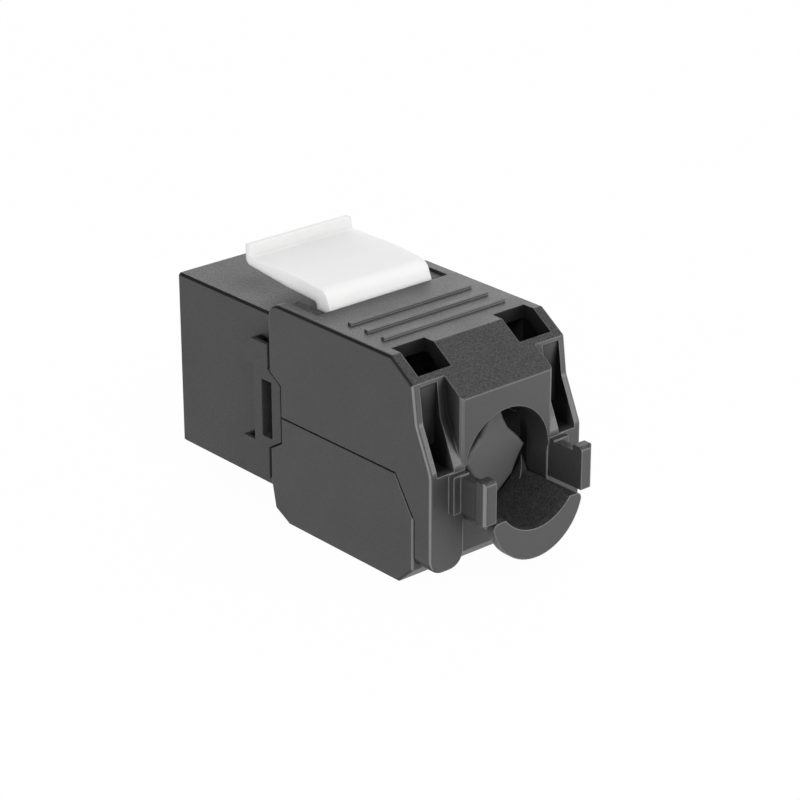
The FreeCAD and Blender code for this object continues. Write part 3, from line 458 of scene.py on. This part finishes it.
class JACK_OT_latch(bpy.types.Operator):
    """Gives the panel latch its white, slightly translucent plastic"""

    bl_idname = "jack.latch"
    bl_label = "Finish Latch"

    def execute(self, context):
        look = context.scene.jack_finish
        plastic = moulded_plastic("white_latch_plastic", look, look.white, depth=0.02, rough=(0.60, 0.66),
                                  speckle=0.01, finish=latch_finish)
        shader = plastic.node_tree.nodes["Principled BSDF"]
        shader.inputs["Subsurface Weight"].default_value = 0.8
        shader.inputs["Subsurface Radius"].default_value = (1.0, 1.0, 0.95)
        shader.inputs["Subsurface Scale"].default_value = 1.2 * MM
        dress(["keystone_latch"], plastic)
        return {"FINISHED"}


class JACK_OT_inner(bpy.types.Operator):
    """Gives the carrier, holder, wire manager, board and metal strips their finishes"""

    bl_idname = "jack.inner"
    bl_label = "Finish Inner Pieces"

    def execute(self, context):
        look = context.scene.jack_finish
        carrier = moulded_plastic("carrier_plastic", look, look.black)
        # painted light: a lighter copy of the black plastic for the wire manager
        manager = moulded_plastic("manager_plastic", look, scaled(look.black, MANAGER_PAINTED_LIGHT))
        board = moulded_plastic("board_laminate", look, look.board, grain=3.0, depth=0.03, rough=(0.25, 0.35))
        dress(["contact_carrier", "idc_holder"], carrier)
        dress(["wire_manager"], manager)
        dress(["circuit_board"], board)
        dress(CONTACTS, plated_metal("gold_plate", look.gold, look.grain, 0.22))
        dress(TERMINALS, plated_metal("tin_plate", look.tin, look.grain, 0.34))
        return {"FINISHED"}


def seen_directly(tree):
    """1 for what the camera sees, straight or in a gloss or through glass."""
    path = tree.nodes.new("ShaderNodeLightPath")
    total = path.outputs["Is Camera Ray"]
    for other in ("Is Glossy Ray", "Is Transmission Ray"):
        total = largest(tree, total, path.outputs[other])
    return total


def floor_material():
    """A pale floor that shows as white and keeps a faint shadow."""
    material = bpy.data.materials.new("pale_floor")
    material.use_nodes = True
    tree = material.node_tree
    tree.nodes.clear()
    output = tree.nodes.new("ShaderNodeOutputMaterial")
    matte = tree.nodes.new("ShaderNodeBsdfDiffuse")
    matte.inputs["Color"].default_value = FLOOR_COLOUR
    glow = tree.nodes.new("ShaderNodeEmission")
    mix = tree.nodes.new("ShaderNodeMixShader")
    tree.links.new(product(tree, seen_directly(tree), FLOOR_GLOW_SHARE), mix.inputs["Fac"])
    tree.links.new(matte.outputs["BSDF"], mix.inputs[1])
    tree.links.new(glow.outputs["Emission"], mix.inputs[2])
    tree.links.new(mix.outputs["Shader"], output.inputs["Surface"])
    return material


def set_world(horizon, zenith):
    """White round the jack, dimmer overhead and at the unlit front left; as diffuse light, lower still."""
    world = bpy.data.worlds.new("studio_world")
    world.use_nodes = True
    tree = world.node_tree
    tree.nodes.clear()
    output = tree.nodes.new("ShaderNodeOutputWorld")
    light = tree.nodes.new("ShaderNodeBackground")
    light.inputs["Color"].default_value = (1.0, 1.0, 1.0, 1.0)
    direction = tree.nodes.new("ShaderNodeTexCoord").outputs["Generated"]
    level = product(
        tree, spread(tree, component(tree, direction, "Z"), 1.0, zenith, 0.4, 0.95),
        spread(tree, dot_product(tree, direction, UNLIT_CORNER), 1.0, 0.1, 0.7, 0.9),
        spread(tree, seen_directly(tree), horizon, 1.0),
    )
    tree.links.new(level, light.inputs["Strength"])
    tree.links.new(light.outputs["Background"], output.inputs["Surface"])
    bpy.context.scene.world = world


def towards(azimuth, elevation):
    """Direction from the jack, in degrees; azimuth 0 is in front, 90 at the left."""
    turn, lift = math.radians(azimuth), math.radians(elevation)
    return Vector((math.sin(turn) * math.cos(lift), -math.cos(turn) * math.cos(lift), math.sin(lift)))


def aimed(back, roll=0.0):
    """Rotation whose local +Z is the given direction, upright apart from the roll."""
    back = back.normalized()
    right = Vector((0.0, 0.0, 1.0)).cross(back).normalized()
    up = back.cross(right)
    rotation = Matrix((right, up, back)).transposed().to_4x4()
    return rotation @ Matrix.Rotation(roll, 4, "Z")


def add_floor(height):
    """A wide pale floor at a height."""
    half = FLOOR_HALF_WIDTH
    corners = [(-half, -half), (half, -half), (half, half), (-half, half)]
    mesh = bpy.data.meshes.new("floor")
    mesh.from_pydata([(x, y, height) for x, y in corners], [], [(0, 1, 2, 3)])
    mesh.materials.append(floor_material())
    floor = bpy.data.objects.new("floor", mesh)
    bpy.context.scene.collection.objects.link(floor)


def add_softbox(name, power, azimuth, elevation, width, height, distance, target):
    """An area lamp that faces the target."""
    data = bpy.data.lights.new(name, "AREA")
    data.energy = power
    data.shape = "RECTANGLE"
    data.size = width
    data.size_y = height
    back = towards(azimuth, elevation)
    lamp = bpy.data.objects.new(name, data)
    lamp.matrix_world = Matrix.Translation(target + back * distance) @ aimed(back)
    bpy.context.scene.collection.objects.link(lamp)


def add_camera(studio):
    """The photograph's camera."""
    data = bpy.data.cameras.new("camera")
    data.lens = studio.camera_lens
    data.sensor_width = 36.0
    data.clip_start = 0.01
    back = towards(studio.camera_azimuth, studio.camera_elevation)
    camera = bpy.data.objects.new("camera", data)
    place = Matrix.Translation(Vector(studio.camera_place))
    camera.matrix_world = place @ aimed(back, math.radians(studio.camera_roll))
    bpy.context.scene.collection.objects.link(camera)
    bpy.context.scene.camera = camera


class JACK_OT_stage(bpy.types.Operator):
    """Adds the pale floor, the lamps, the white surroundings and the camera"""

    bl_idname = "jack.stage"
    bl_label = "Set Up Studio"

    def execute(self, context):
        studio = context.scene.jack_studio
        low, high = CAD_BOX
        centre = (Vector(low) + Vector(high)) / 2.0
        add_floor(low[2])
        set_world(studio.horizon, studio.zenith)
        for name, power, *place in SOFTBOXES:
            add_softbox(name, getattr(studio, power), *place, centre)
        add_camera(studio)
        context.scene.view_settings.view_transform = "Standard"
        return {"FINISHED"}


class JACK_PT_panel(bpy.types.Panel):
    """Steps that finish the jack"""

    bl_label = "Keystone Jack"
    bl_idname = "JACK_PT_panel"
    bl_space_type = "VIEW_3D"
    bl_region_type = "UI"
    bl_category = "Keystone Jack"

    def draw(self, context):
        layout = self.layout
        for step in STEPS:
            layout.operator("jack." + step)
        for group in (context.scene.jack_finish, context.scene.jack_studio):
            box = layout.box()
            for name in group.__annotations__:
                box.prop(group, name)


STEPS = ("shells", "latch", "inner", "stage")
CLASSES = (
    JackFinish, JackStudio, JACK_OT_shells, JACK_OT_latch, JACK_OT_inner, JACK_OT_stage, JACK_PT_panel,
)


def register():
    for item in CLASSES:
        bpy.utils.register_class(item)
    bpy.types.Scene.jack_finish = PointerProperty(type=JackFinish)
    bpy.types.Scene.jack_studio = PointerProperty(type=JackStudio)


def unregister():
    del bpy.types.Scene.jack_studio
    del bpy.types.Scene.jack_finish
    for item in reversed(CLASSES):
        bpy.utils.unregister_class(item)


def main():
    register()
    for step in STEPS:
        getattr(bpy.ops.jack, step)()


if __name__ == "__main__":
    main()
